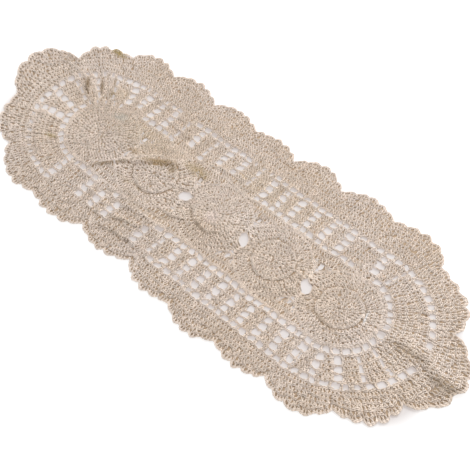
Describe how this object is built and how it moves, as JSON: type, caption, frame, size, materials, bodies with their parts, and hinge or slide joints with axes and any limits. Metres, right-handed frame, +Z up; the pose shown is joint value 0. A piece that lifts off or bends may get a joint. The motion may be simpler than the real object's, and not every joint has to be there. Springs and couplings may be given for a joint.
{
  "type": "crochet table runner",
  "caption": "Oval crochet table runner: a row of joined round medallions inside an openwork ladder border and a scalloped shell edging, lying with soft folds.",
  "frame": {"origin": "middle of the runner's outline, on the table top it lies on", "axes": "+X along the row of medallions towards the right end as seen from the front edge; +Y across the runner towards its back edge; +Z up"},
  "size_m": [0.7988, 0.319, 0.0094],
  "materials": {
    "cotton": "matt undyed cotton yarn"
  },
  "bodies": {
    "root": {"medallion_1": "cotton", "medallion_2": "cotton", "medallion_3": "cotton", "medallion_4": "cotton", "medallion_5": "cotton", "surround": "cotton"}
  },
  "joints": []
}
